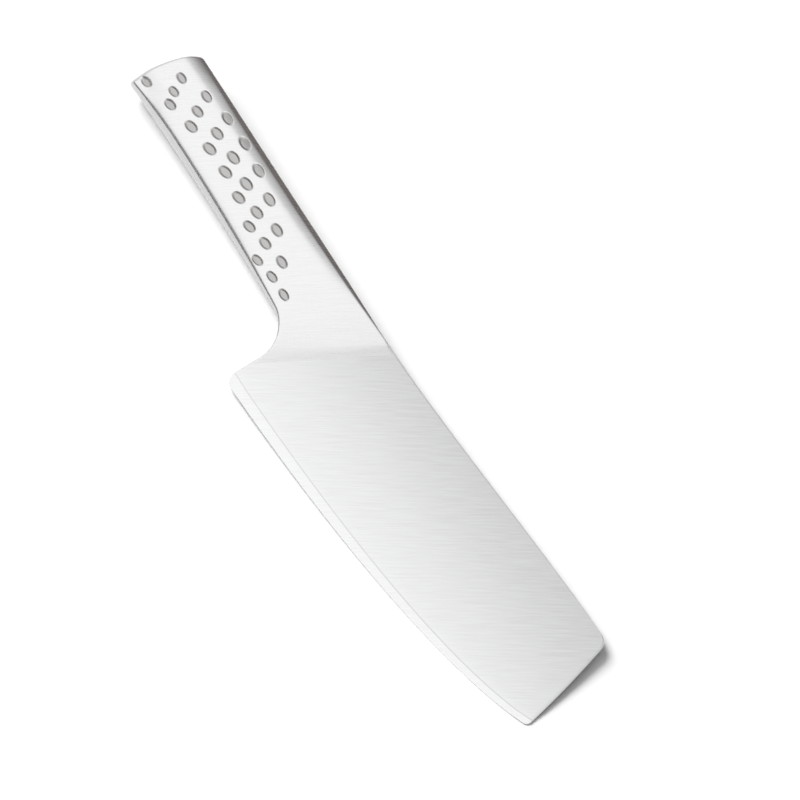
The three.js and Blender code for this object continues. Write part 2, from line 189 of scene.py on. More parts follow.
# %% Sides of the handle
HANDLE_LENGTH = 145.5  # butt to the spine end of the neck line
BELLY_WAIST = 1.2  # the belly side draws in this much at the middle
WAIST_PULL = 1.75  # height of the waist's control point, in waists
BUTT_SLANT = 6.4  # the butt's spine corner stands ahead of its belly corner
HEEL_SETBACK = 21.2  # heel line behind the spine end of the neck line
HEEL_FILLET = 15  # hollow curve between handle and heel line
NECK_TURN = math.radians(6)  # of the heel's hollow that the shells leave uncovered
WELD_LAP = 5

belly_y = -GRIP_WIDTH / 2 - BELLY_WAIST
fillet_centre = (-HEEL_SETBACK - HEEL_FILLET, belly_y - HEEL_FILLET)
butt_belly = np.array([-HANDLE_LENGTH, belly_y + BELLY_WAIST / 2])
fillet_start = np.array([fillet_centre[0], belly_y])
waist_x = (butt_belly[0] + fillet_start[0]) / 2
waist_control = np.array([waist_x, belly_y + WAIST_PULL * BELLY_WAIST])
belly_side = np.concatenate([
    bezier([butt_belly, waist_control, fillet_start], FINE),
    arc(fillet_centre, HEEL_FILLET, math.pi / 2, NECK_TURN)[1:],
])
spine_side = np.array([[BUTT_SLANT - HANDLE_LENGTH, GRIP_WIDTH / 2], [0, spine_y]])
belly_length, spine_length = chain_length(belly_side), chain_length(spine_side)
heel_arc = arc(fillet_centre, HEEL_FILLET, NECK_TURN, 0)[1:]
belly_side = np.concatenate([belly_side, heel_arc, [heel_arc[-1] - (0, WELD_LAP)]])
spine_side = np.concatenate([spine_side, [(WELD_LAP, spine_y)]])
print("Sides up to the neck line, mm:", round(belly_length, 1), "and", round(spine_length, 1))

# %% [markdown]
# A station joins a point of the belly side to the point of the spine side at the same share of its
# length. A share of 0 is the butt and a share of 1 is the neck line. The butt's spine corner is
# rounded, and the end of the butt bulges a little past the first station.

# %% Stations
BUTT_CORNER = 4  # rounding of the butt's spine corner
BUTT_BOW = 2.2  # the butt's end bulges this far past its chord
BOW_END = 0.3  # share of the length at which the bulge has faded


def quarter_round(distance, radius):
    left = 1 - np.clip(distance / radius, 0, 1)
    return np.sqrt(np.clip(1 - left * left, 0, 1))


def station(shares):
    belly = along(belly_side, shares, belly_length)
    spine = along(spine_side, shares, spine_length)
    spine[..., 1] -= BUTT_CORNER * (1 - quarter_round(shares * spine_length, BUTT_CORNER))
    return belly, spine, np.linalg.norm(spine - belly, axis=-1)


def butt_bulge(shares, v):
    return BUTT_BOW * np.clip(1 - shares / BOW_END, 0, None) ** 2 * 4 * v * (1 - v)


print("Neck line is", round(float(station(np.array([1.0]))[2][0]), 1), "mm long")

# %% [markdown]
# ## The handle's section
#
# Seen end on, the grip has a steep narrow bevel on the belly side. From there the top face climbs
# evenly towards the spine, turns over near it and meets a shallower bevel. Below that is an upright
# band. The two bevels are crescents: widest on the grip, narrow at the butt and gone at the neck. A
# few fixed sections joined by a loft could give this too, but one formula for each part of the
# section lets each part fade where it does on the real knife. Heights are above the blade's plane,
# and the shares in brackets count from the butt to the neck.

# %% Fading and bevels
BELLY_BEVEL, SPINE_BEVEL = 1.8, 2.1  # their widths in plan
BELLY_CRESCENT = (-0.03, 0.22, 0.9, 2)  # start, widest share, end and power
SPINE_CRESCENT = (-0.08, 0.5, 0.985, 3)
LEAST_BEVEL = 0.1


def run_out(shares, start, end, power):
    return 1 - np.clip((shares - start) / (end - start), 0, None) ** power


def crescent(shares, start, peak, end, power):
    reach = np.where(shares < peak, peak - start, end - peak)
    return np.clip(1 - (np.abs(shares - peak) / reach) ** power, 0, None)


def belly_bevel(shares):
    return BELLY_BEVEL * crescent(shares, *BELLY_CRESCENT) + LEAST_BEVEL


def spine_bevel(shares):
    return SPINE_BEVEL * crescent(shares, *SPINE_CRESCENT) + LEAST_BEVEL


print("Spine bevel along the handle, mm:", spine_bevel(np.linspace(0, 1, 5)).round(2))

# %% [markdown]
# The two shells are welded to the blade and the weld is ground flush. So the lip, by which the
# shells stand above the blade, fades to nothing at the neck line, and the last of the rise melts
# into the blade's plane instead of cutting through it. The butt is the thickest part of the grip.

# %% Lip, swell and weld
LIP = 0.8  # the shells stand this far above the blade
LIP_FADE = (0.8, 1.0)
GRIP_FRONT = 0.62  # share of the length from which the grip thins towards the neck
BUTT_SWELL = 1.5  # the face stands this much higher at the butt than at the grip's front
SWELL_POWER = 1.4
WELD_EASE = 0.14


def lip(shares):
    return LIP * (1 - smooth_step(*LIP_FADE, shares))


def swell(shares):
    return BUTT_SWELL * np.clip(1 - shares / GRIP_FRONT, 0, None) ** SWELL_POWER


def melted(rise):
    """Leaves a rise as it is, but lets it fade out softly where it would sink below the blade."""
    return WELD_EASE * np.logaddexp(0, rise / WELD_EASE)


print("Melted rises of -0.5, 0 and 0.5 mm:", melted(np.array([-0.5, 0, 0.5])).round(2))

# %% [markdown]
# The top face is one even slope from the belly to the spine, less three soft drops: the face turns
# over near the spine, most of all at the butt, it rolls off a little towards the belly bevel, and
# its belly corner is lower at the butt.

# %% Top face
BELLY_EDGE_RISE = 1.9  # the face's edge above the belly bevel
BELLY_RUN_OUT = (0.2, 0.96, 2.4)  # start, end and power
SPINE_EDGE_RISE = 5.2  # the face climbs to this height, if it ran on to the spine bevel
SPINE_BEVEL_SLOPE = 0.68
THINNING_POWER = 1.7
FACE_TURN, FACE_TURN_START, FACE_TURN_POWER = 1.05, 0.72, 2.8  # starts at a share of the width
BUTT_TURN, BUTT_TURN_END = 0.8, 0.16  # the turn-over is this share deeper at the butt
BELLY_TURN, BELLY_TURN_END = 0.4, 0.16  # ends at a share of the width
BELLY_TURN_ONSET = (0.02, 0.14)
TURN_RUN_OUT = (0.5, 0.9, 2)
BUTT_DROP, BUTT_DROP_END, BUTT_DROP_WIDTH = 1.2, 0.25, 0.4  # ends along and across the face


def face_rise(shares, v):
    belly = BELLY_EDGE_RISE * run_out(shares, *BELLY_RUN_OUT)
    thinning = run_out(shares, GRIP_FRONT, 1, THINNING_POWER)
    slope = belly + (SPINE_EDGE_RISE * thinning - belly) * v
    at_butt = 1 - smooth_step(0, BUTT_DROP_END, shares)
    butt_drop = BUTT_DROP * at_butt * (1 - smooth_step(0, BUTT_DROP_WIDTH, v))
    fading = np.clip(run_out(shares, *TURN_RUN_OUT), 0, None)
    butt_turn = 1 + BUTT_TURN * (1 - smooth_step(0, BUTT_TURN_END, shares))
    turned = np.clip((v - FACE_TURN_START) / (1 - FACE_TURN_START), 0, None)
    spine_drop = FACE_TURN * butt_turn * fading * turned ** FACE_TURN_POWER
    near_belly = np.clip(1 - v / BELLY_TURN_END, 0, None)
    belly_drop = BELLY_TURN * smooth_step(*BELLY_TURN_ONSET, shares) * near_belly ** 2 * fading
    return melted(lip(shares) + swell(shares) + slope - butt_drop - spine_drop - belly_drop)


def spine_band(shares):
    return np.clip(face_rise(shares, 1) - SPINE_BEVEL_SLOPE * spine_bevel(shares), 0, None)


MID_GRIP = 0.4
print("Top face at mid grip, mm:", face_rise(np.array(MID_GRIP), np.linspace(0, 1, 5)).round(2))

# %% [markdown]
# ## One shell
#
# A pressed shell has no knife-sharp corners: polishing eases every arris by a few tenths of a
# millimetre, the belly's more than the spine's. A bevel modifier would cut facets there. Instead,
# each section is drawn as a polyline, sampled finely and blurred a little along its own length,
# which rounds its corners and leaves straight stretches alone. Each stretch between two corners
# then gets its own count of points, and they lie closer together near the corners.

# %% An eased section
BELLY_EASE, SPINE_EASE = 0.62, 0.28
EASE_CHANGE = (0.3, 0.6)  # shares of the section between which one easing turns into the other
SAMPLE = 0.05
KERNEL_REACH = 4  # a blur counts as zero past this many times its own width
CROWDING = 0.7
FACE_POINTS = 40
STRETCHES = [1, 1, FACE_POINTS, 1, 1]  # seam, belly bevel, face, spine bevel, spine band
COUNTS = [3, 16, 124, 16, 8]  # points on each stretch
pad = round(KERNEL_REACH * BELLY_EASE / SAMPLE)


def blur_kernel(ease):
    weights = np.exp(-0.5 * (np.arange(-pad, pad + 1) * SAMPLE / ease) ** 2)
    return weights / weights.sum()


kernels = [blur_kernel(BELLY_EASE), blur_kernel(SPINE_EASE)]


def crowded(count):
    """Shares from 0 to just under 1 that lie closer together near both ends."""
    even = np.linspace(0, 1, count, endpoint=False)
    return even - CROWDING * np.sin(2 * math.pi * even) / (2 * math.pi)


def eased(across, z):
    """Rounds a section's corners and returns the set count of points on each stretch."""
    steps = np.hypot(np.diff(across), np.diff(z))
    length = np.concatenate([[0], np.cumsum(steps)])
    fine = np.arange(0, length[-1] + SAMPLE, SAMPLE)
    to_spine = smooth_step(*EASE_CHANGE, fine / length[-1])
    smooth = []
    for values in (across, z):
        sampled = np.interp(fine, length, values)
        before = 2 * sampled[0] - sampled[pad:0:-1]
        after = 2 * sampled[-1] - sampled[-2:-pad - 2:-1]
        padded = np.concatenate([before, sampled, after])
        belly, spine = (np.convolve(padded, kernel, mode="valid") for kernel in kernels)
        smooth.append(belly + (spine - belly) * to_spine)
    corners = length[np.cumsum([0] + STRETCHES)]
    wanted = [a + (b - a) * crowded(n) for a, b, n in zip(corners, corners[1:], COUNTS)]
    wanted = np.concatenate(wanted + [[length[-1]]])
    return np.interp(wanted, fine, smooth[0]), np.interp(wanted, fine, smooth[1])


print("Points on a section:", sum(COUNTS) + 1)

# %% [markdown]
# The sections are closer together round the butt, whose rounding scales each one's height. Past the
# neck line the sheet draws in from the blade's rims and sinks there under the blade's face, so that
# the two don't fight for the same place.

# %% Shell sheet
BUTT_ROUND = 3.2  # rounding of the butt from the top face to its end
ROUND_MARGIN = 1.02  # the close stations reach just past the rounding
BUTT_STATIONS, GRIP_STATIONS = 14, 455
LAP_END = 1 + WELD_LAP / HANDLE_LENGTH
LAP_RAMP = 2.5  # from the neck line to where the inset and the sinking are full
LAP_INSET, LAP_BORDER, LAP_SINK = 0.3, 0.6, 0.4

round_end = max(BUTT_ROUND, BUTT_CORNER) * ROUND_MARGIN / HANDLE_LENGTH
round_turn = np.linspace(0, math.pi / 2, BUTT_STATIONS, endpoint=False)
grip_shares = np.linspace(round_end, LAP_END, GRIP_STATIONS)
shares = np.concatenate([round_end * (1 - np.cos(round_turn)), grip_shares])


def lap_over_blade(share, across, z, width):
    lapped = smooth_step(1, 1 + LAP_RAMP / HANDLE_LENGTH, share)
    inset = LAP_INSET * lapped
    across = inset + across * (1 - 2 * inset / width)
    from_side = np.minimum(across, width - across) - inset
    sunk = LAP_SINK * lapped * (1 - smooth_step(0, LAP_BORDER, from_side))
    return across, np.maximum(z - sunk, 0)


def shell_sheet():
    """The upper shell's outside, from the belly seam over the top face to the spine seam."""
    v = np.linspace(0, 1, FACE_POINTS + 1)
    sheet = []
    for share, belly, spine, width in zip(shares, *station(shares)):
        rounding = quarter_round(share * HANDLE_LENGTH, BUTT_ROUND)
        first, last = belly_bevel(share), width - spine_bevel(share)
        across = np.concatenate([[0, 0], first + (last - first) * v, [width, width]])
        rise = np.concatenate([[0, 0], face_rise(share, v), [spine_band(share), 0]])
        place = belly + (spine - belly) * (across / width)[:, None]
        z = (blade_half(place[:, 0], place[:, 1]) + rise) * rounding
        z[[0, -1]] = 0
        across, z = eased(across, z)
        if share > 1:
            across, z = lap_over_blade(share, across, z, width)
        place = belly + (spine - belly) * (across / width)[:, None]
        place[:, 0] -= butt_bulge(share, across / width)
        sheet.append(np.column_stack([place, z]))
    return np.array(sheet)


sheet = shell_sheet()
print("Shell sheet:", sheet.shape, "top above the mid plane, mm:", round(sheet[..., 2].max(), 2))

# %% [markdown]
# ## The grip dimples
#
# Each dimple is struck with an oval punch: a soft wall round a nearly flat floor. The dimples sit
# in three bowed rows, and those at a row's ends are a little smaller. The ovals lie along the
# handle, turned by a few degrees that differ from row to row. A boolean cut would leave ragged
# faces round each one. Here they are pressed into the sheet by moving points along the face's own
# normal, which keeps the mesh in one piece. A point attribute remembers the struck floor, because
# its finish is duller and its colour is painted darker there, as painted shade in the hollow.

# %% Dimple sizes and rows
DIMPLE_LENGTH, DIMPLE_WIDTH, DIMPLE_DEPTH = 6.8, 3.5, 0.42
DIMPLE_END_SIZE = 0.82  # dimples at a row's ends, against those at its middle
DIMPLE_WALL = (0.7, 1.06)  # from floor to rim, in shares of the oval
# The painted shade of the struck floors fades out between these too.
DIMPLE_DULL_AND_SHADE = (0.75, 0.98)  # the dull finish fades out between these
DIMPLE_ROWS = [  # count, turn in degrees, and the bow's controls along and across the handle
    (8, 11, [(0.037, 0.176), (0.268, 0.416), (0.414, 0.542), (0.63, 0.129)]),
    (8, 7, [(0.107, 0.408), (0.311, 0.767), (0.487, 0.574), (0.69, 0.179)]),
    (9, 2, [(0.088, 0.597), (0.31, 1.088), (0.552, 0.751), (0.748, 0.191)]),
]
PLAN_TRIES = np.linspace(0, 1, 4000)


def plan_point(x, v):
    """The place on the handle's plan that lies at X, at a share of the width from the belly."""
    belly, spine, _ = station(PLAN_TRIES)
    line = belly + (spine - belly) * v
    line[:, 0] -= butt_bulge(PLAN_TRIES, v)
    return line[int(np.argmin(np.abs(line[:, 0] - x)))]


print("Dimples on each side:", sum(count for count, _, _ in DIMPLE_ROWS))

# %% [markdown]
# Each point of the sheet keeps the deepest of all the dimples that reach it. The sheet's own rows
# and columns give the normal that it moves along, as the steel would give way under a punch.

# %% Press the dimples
LEAST_NORMAL = 1e-12  # keeps points that coincide at the butt from dividing by zero
UPRIGHT_BIAS = 1e-9  # an exactly upright face counts as facing up


def oval_reaches(sheet):
    """For each dimple, how far each point lies from its centre: 1 is on the oval."""
    for count, degrees, bow in DIMPLE_ROWS:
        c, s = math.cos(math.radians(degrees)), math.sin(math.radians(degrees))
        steps = np.linspace(0, 1, count)
        for t, (share_along, share_across) in zip(steps, bezier(bow, steps)):
            size = DIMPLE_END_SIZE + (1 - DIMPLE_END_SIZE) * math.sin(math.pi * t)
            centre = plan_point(HANDLE_LENGTH * (share_along - 1), share_across)
            away = (sheet[..., :2] - centre) @ np.array([[c, -s], [s, c]])
            half_length, half_width = DIMPLE_LENGTH * size / 2, DIMPLE_WIDTH * size / 2
            yield np.hypot(away[..., 0] / half_length, away[..., 1] / half_width)


def press_dimples(sheet):
    down = np.zeros(sheet.shape[:2])
    struck = np.zeros(sheet.shape[:2])
    for reach in oval_reaches(sheet):
        down = np.maximum(down, DIMPLE_DEPTH * (1 - smooth_step(*DIMPLE_WALL, reach)))
        # The struck mask marks each floor's duller finish and its painted shade.
        struck = np.maximum(struck, 1 - smooth_step(*DIMPLE_DULL_AND_SHADE, reach))
    normal = np.cross(np.gradient(sheet, axis=0), np.gradient(sheet, axis=1))
    normal /= np.maximum(np.linalg.norm(normal, axis=-1, keepdims=True), LEAST_NORMAL)
    normal *= np.sign(normal[..., 2:] + UPRIGHT_BIAS)
    return sheet - normal * down[..., None], struck


sheet, struck = press_dimples(sheet)
print("Points on struck floors:", int((struck > 0.5).sum()))

# %% [markdown]
# ## Closing the shell
#
# Past the neck line the sheet's last row tucks under the blade's face, as a ground weld would leave
# it, so no slit shows. At the butt the first section is flat on the mid plane and closes by itself.
# The lower shell is the mirror image of the upper one. The shells' butt end, spine side and lowest
# point are set against the boxes of the CAD shells. That fixes where the flat drawing goes, and the
# blade later uses the same offset.

# %% Both sheets in place
WELD_TUCK, WELD_SINK = 0.35, 0.4

tuck = sheet[-1] + np.array([WELD_TUCK, 0, 0])
tuck[:, 2] = np.maximum(sheet[-1][:, 2] - WELD_SINK, 0)
sheet = np.concatenate([sheet, tuck[None]])
struck = np.concatenate([struck, np.zeros((1, struck.shape[1]))])
upper_points = sheet.reshape(-1, 3)
lower_points = upper_points * np.array([1, 1, -1])

turned = np.concatenate([upper_points, lower_points]) @ lie.T
low, high = turned.min(axis=0), turned.max(axis=0)
upper_box, lower_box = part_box("handle_upper_shell"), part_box("handle_lower_shell")
cad_butt = min(upper_box[0][0], lower_box[0][0]) / MM
cad_spine = max(upper_box[1][1], lower_box[1][1]) / MM
cad_bottom = lower_box[0][2] / MM
offset = np.array([cad_butt - low[0], cad_spine - high[1], cad_bottom - low[2]])
print("Offset of the flat drawing, mm:", offset.round(3))

# %% [markdown]
# The satin grain runs across the knife at a slant. The UV map is the flat drawing itself, turned by
# that slant, so the grain crosses from the handle to the blade without a break.

# %% Both shells
GRAIN_TURN = math.radians(55)
grain_along = [math.cos(GRAIN_TURN), math.sin(GRAIN_TURN)]
grain_across = [-math.sin(GRAIN_TURN), math.cos(GRAIN_TURN)]
grain_way = np.array([grain_along, grain_across])


def grain_uv(points):
    """U runs along the satin grain and V across it, both in millimetres."""
    return points[:, :2] @ grain_way.T


rows, columns = sheet.shape[:2]
shells = {}
for name, points, flipped in (("upper", upper_points, False), ("lower", lower_points, True)):
    faces = grid_faces(rows, columns, flipped)
    piece = mesh_piece("shell_" + name, points, faces, offset, grain_uv(points))
    mark = piece.data.attributes.new("struck", "FLOAT", "POINT")
    mark.data.foreach_set("value", struck.ravel())
    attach(piece, "root")
    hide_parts("handle_%s_shell" % name)
    shells[name] = piece

# %% [markdown]
# ## The blade
#
# The blade's plan is spanned between four outlines: the heel, the tip, the spine and the cutting
# edge. An extruded outline would need cutting for every bevel. A patch between four outlines
# follows each of them exactly, and its rows run along the edge, where the bevel needs them.

# %% Corners of the blade
TIP_SETBACK = 10.2  # the tip's spine corner stands this far behind its edge corner
TIP_BOW = 0.8  # control point of the tip's curve, ahead of its chord
SPINE_RISE = 5.7  # spine at the tip, above the spine at the neck
EDGE_RISE = 23.2  # cutting edge at the tip, above the edge at the heel
SPINE_CORNER, TIP_CORNER, HEEL_CORNER = 4.2, 2, 5.6  # roundings
NECK_TUCK = 1.2  # the blade starts this far behind the neck line

edge_heel_y = spine_y - HEEL_DEPTH
edge_tip_y = edge_heel_y + EDGE_RISE
tip_spine_y = spine_y + SPINE_RISE
heel_x = -HEEL_SETBACK
tip_edge = np.array([TIP_REACH, edge_tip_y])
tip_corner = np.array([TIP_REACH - TIP_SETBACK, tip_spine_y])
tip_way = (tip_corner - tip_edge) / np.linalg.norm(tip_corner - tip_edge)
corner_below = tip_corner - tip_way * SPINE_CORNER
corner_behind = np.array([tip_corner[0] - SPINE_CORNER, tip_spine_y])
tip_control = (tip_edge + corner_below) / 2 + np.array([TIP_BOW, 0])
edge_start = np.array([heel_x + HEEL_CORNER, edge_heel_y])
tuck_turn = NECK_TURN + NECK_TUCK / HEEL_FILLET
tuck_spine = np.array([-NECK_TUCK, spine_y])
print("Edge from Y", round(edge_heel_y, 1), "at the heel to", round(edge_tip_y, 1), "at the tip")

# %% [markdown]
# The cutting edge is nearly straight behind and sweeps up towards the tip, which is cut off at a
# slant. The spine is straight at the neck and rises a little towards the tip. The bows below place
# the control points of these two curves, as shares of their length and of their rise.

# %% Blade outlines
EDGE_BOW = [(0.345, 0.1), (0.787, 0.35)]
SPINE_BOW_NECK, SPINE_BOW_TIP, SPINE_BOW_DROP = 0.31, 0.7, 0.12

rear = np.concatenate([
    bezier([edge_start, (heel_x, edge_heel_y), (heel_x, edge_heel_y + HEEL_CORNER)], FINE),
    arc(fillet_centre, HEEL_FILLET, 0, tuck_turn),
    [tuck_spine],
])
edge_reach = tip_edge[0] - edge_start[0]
edge_bow = [(edge_start[0] + edge_reach * a, edge_heel_y + EDGE_RISE * b) for a, b in EDGE_BOW]
whole_edge = bezier([edge_start, *edge_bow, tip_edge], FINE)
edge = along(whole_edge, FINE * (1 - TIP_CORNER / chain_length(whole_edge)))
tip = np.concatenate([
    bezier([edge[-1], tip_edge, tip_edge + tip_way * TIP_CORNER], FINE),
    bezier([tip_edge + tip_way * TIP_CORNER, tip_control, corner_below], FINE)[1:],
    bezier([corner_below, tip_corner, corner_behind], FINE)[1:],
])
spine = np.concatenate([
    [tuck_spine],
    bezier([
        (0, spine_y),
        (corner_behind[0] * SPINE_BOW_NECK, spine_y),
        (corner_behind[0] * SPINE_BOW_TIP, tip_spine_y - SPINE_RISE * SPINE_BOW_DROP),
        corner_behind,
    ], FINE),
])
print("Edge and spine, mm:", round(chain_length(edge), 1), round(chain_length(spine), 1))

# %% [markdown]
# A narrow bevel is ground along the edge, and the stone leaves a shallow hollow, some hundredths of
# a millimetre deep, just above it. The other rims are eased, as a finished knife's spine is, so
# that they catch a thin line of light. Rows of points crowd together where these small forms are,
# and are far apart on the plain face.

# %% Rows and columns
BLADE_COLUMNS, BLADE_ROWS, BEVEL_ROWS = 170, 90, 5
PATCH_BEVEL = 3.1  # the bevel's width before it is evened out
HOLLOW_ROWS = np.array([0.08, 0.16, 0.24, 0.35, 0.48, 0.8, 1.0])  # above the bevel
RIM_EASE, RIM_STEPS = 0.12, 5
rim = RIM_EASE * (1 - np.cos(np.linspace(0, math.pi / 2, RIM_STEPS)))


def with_rims(count, length, both):
    """Shares from 0 to 1 that crowd together where a rim is eased."""
    ends = rim / length
    inner = np.linspace(ends[-1] if both else 0, 1 - ends[-1], count)
    return np.concatenate([ends[:-1] if both else [], inner, 1 - ends[-2::-1]])


columns_at = with_rims(BLADE_COLUMNS, TIP_REACH, True)
bevel_share = PATCH_BEVEL / HEEL_DEPTH
face_rows = np.concatenate([with_rims(BLADE_ROWS, HEEL_DEPTH, False), HOLLOW_ROWS / HEEL_DEPTH])
rows_at = np.concatenate([
    np.linspace(0, bevel_share, BEVEL_ROWS, endpoint=False),
    bevel_share + (1 - bevel_share) * np.sort(face_rows),
])
print("Blade patch of", len(columns_at), "columns and", len(rows_at), "rows")

# %% [markdown]
# The patch is the sum of the two ways to span it, edge to spine and heel to tip, less the plain
# sheet between its four corners, which both of them hold. Its rows are then pulled so that the
# bevel narrows evenly from the heel to the tip.

# %% Blade plan
EDGE_BEVEL_HEEL, EDGE_BEVEL_TIP = 4.0, 2.2
HEEL_BEVEL_RUN, TIP_BEVEL_RUN = 7.5, 3.6  # the bevel's length on the heel's and tip's outlines
PULL_RAMP, PULL_POWER = 0.03, 3


def rows_on(outline, bevel_run):
    bevel_end = bevel_run / chain_length(outline)
    return along(outline, np.interp(rows_at, [0, bevel_share, 1], [0, bevel_end, 1]))


def blade_plan():
    a, b = columns_at[:, None, None], rows_at[None, :, None]
    lengthwise = along(edge, columns_at)[:, None] * (1 - b) + along(spine, columns_at)[:, None] * b
    at_heel, at_tip = rows_on(rear, HEEL_BEVEL_RUN), rows_on(tip, TIP_BEVEL_RUN)
    crosswise = at_heel[None] * (1 - a) + at_tip[None] * a
    heel_corners = edge_start * (1 - b) + tuck_spine * b
    tip_corners = edge[-1] * (1 - b) + corner_behind * b
    return lengthwise + crosswise - (heel_corners * (1 - a) + tip_corners * a)


def even_bevel(plan):
    """Pulls the patch's rows so that the bevel has its own width all along the edge."""
    way = np.gradient(plan[:, 0], axis=0)
    way /= np.linalg.norm(way, axis=1, keepdims=True)
    inward = np.stack([-way[:, 1], way[:, 0]], axis=-1)
    wide = EDGE_BEVEL_HEEL + (EDGE_BEVEL_TIP - EDGE_BEVEL_HEEL) * columns_at
    pull = plan[:, 0] + inward * wide[:, None] - plan[:, BEVEL_ROWS]
    ramps = smooth_step(0, PULL_RAMP, columns_at) * smooth_step(0, PULL_RAMP, 1 - columns_at)
    pull *= ramps[:, None]
    above = np.clip((rows_at - bevel_share) / (1 - bevel_share), 0, 1)
    share = np.clip(rows_at / bevel_share, 0, 1) * (1 - above) ** PULL_POWER
    return plan + pull[:, None] * share[None, :, None]


plan = even_bevel(blade_plan())
print("Blade plan:", plan.shape, "longest reach, mm:", round(np.ptp(plan[..., 0]), 1))

# %% [markdown]
# Over that plan, half the thickness is the wedge of the flat grind, drawn in to the edge on the
# bevel, hollowed a little above it and eased at the rims.

# %% Blade faces
EDGE_FLAT = 0.1  # the cutting edge itself
HOLLOW_DEPTH, HOLLOW_STEEP, HOLLOW_WIDE = 0.022, 0.16, 1.4


def blade_faces(plan):
    half = blade_half(plan[..., 0], plan[..., 1])
    ground = np.clip(rows_at / bevel_share, 0, 1)[None]
    half = EDGE_FLAT / 2 + (half - EDGE_FLAT / 2) * ground
    above = np.clip(rows_at - bevel_share, 0, None) * HEEL_DEPTH
    hollow = HOLLOW_DEPTH * (1 - np.exp(-above / HOLLOW_STEEP)) * np.exp(-above / HOLLOW_WIDE)
    half = half - hollow[None]
    from_ends = np.minimum(columns_at, 1 - columns_at) * TIP_REACH
    from_rim = np.minimum.outer(from_ends, (1 - rows_at) * HEEL_DEPTH)
    left = np.clip(1 - from_rim / RIM_EASE, 0, 1)
    easing = RIM_EASE * (1 - np.sqrt(1 - left * left)) * ground
    return half - np.minimum(easing, half / 2)


half = blade_faces(plan)
print("Blade at its thickest, mm:", round(2 * half.max(), 2))

# %% [markdown]
# The upper and the lower face are the same sheet, once mirrored, and a strip of walls round the
# border closes them into a solid. Smooth shading would blur the bevel's line and the cutting edge,
# so the edges along these two are marked sharp.

# %% Blade mesh
count_a, count_b = half.shape
top = np.concatenate([plan, half[..., None]], axis=-1).reshape(-1, 3)
bottom = top * np.array([1, 1, -1])
under = len(top)
ring = np.arange(under).reshape(count_a, count_b)
border = np.concatenate([ring[:-1, 0], ring[-1, :-1], ring[:0:-1, -1], ring[0, :0:-1]])
following = np.roll(border, -1)
walls = np.stack([border, following, following + under, border + under], axis=-1)
faces = np.concatenate([
    grid_faces(count_a, count_b),
    grid_faces(count_a, count_b, True) + under,
    walls[:, ::-1],
])
blade_points = np.concatenate([top, bottom])
blade = mesh_piece("blade_blank", blade_points, faces, offset, grain_uv(blade_points))
edge_keys = np.empty(len(blade.data.edges) * 2, dtype=np.int32)
blade.data.edges.foreach_get("vertices", edge_keys)
row_of = (edge_keys.reshape(-1, 2) % under) % count_b
crisp = (row_of == BEVEL_ROWS).all(axis=1) | (row_of == 0).all(axis=1)
sharp = blade.data.attributes.new("sharp_edge", "BOOLEAN", "EDGE")
sharp.data.foreach_set("value", crisp)
print("Sharp edges:", int(crisp.sum()))
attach(blade, "root")
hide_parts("blade")

# %% [markdown]
# ## Materials
#
# Colours are written as sRGB hex values, as a colour picker shows them, and turned to the linear
# values that the renderer works in. One small function adds a node, so that a material reads as a
# list of its nodes. A socket is named by its label, with _ for a space, or by i and its number
# where several sockets share a label. Stops are the colours of a ramp and their places on it.

# %% Colour and node helpers
def srgb(code):
    channels = [int(code[i:i + 2], 16) / 255 for i in (1, 3, 5)]
    linear = [c / 12.92 if c <= 0.04045 else ((c + 0.055) / 1.055) ** 2.4 for c in channels]
    return (*linear, 1)


def node(tree, kind, settings=None, stops=None, **links):
    """Adds a node, sets its properties and colour stops, and fills or links its input sockets."""
    made = tree.nodes.new(kind)
    for key, value in (settings or {}).items():
        setattr(made, key, value)
    if stops:
        for stop, (position, colour) in zip(made.color_ramp.elements, stops):
            stop.position, stop.color = position, srgb(colour)
    for key, value in links.items():
        by_number = key[0] == "i" and key[1:].isdigit()
        socket = made.inputs[int(key[1:]) if by_number else key.replace("_", " ")]
        if isinstance(value, bpy.types.NodeSocket):
            tree.links.new(value, socket)
        else:
            socket.default_value = value
    return made


def new_material(name):
    material = bpy.data.materials.new(name)
    material.use_nodes = True
    material.node_tree.nodes.clear()
    return material, material.node_tree


print("Mid grey #808080 is", round(srgb("#808080")[0], 3), "in linear light")

# %% [markdown]
# ### Satin-ground stainless steel
#
# The blade and the handle are stainless steel, finished with an abrasive belt that runs across
# the knife. The belt leaves fine parallel scratches. They spread reflections sideways, which is
# anisotropy, and the eye also sees a few longer streaks. Real scratches are a few hundredths of a
# millimetre wide. They are drawn as streaks about half a millimetre wide here, because finer ones
# would vanish between the pixels. The struck floors of the dimples are duller, since no belt
# reaches them, and their colour is painted darker too: painted shade in these hollows.

# %% Satin steel
STREAK_WIDTH, STREAK_LENGTH = 0.45, 14
STREAK_LOW, STREAK_HIGH = 0.3, 0.7  # the part of the noise's range that is used
GLOSS_SPREAD = 0.012
SCRATCH_DEPTH, SCRATCH_STRENGTH = 0.006, 0.05
QUARTER_TURN = 0.25  # turns the spread of the reflections from along the grain to across it


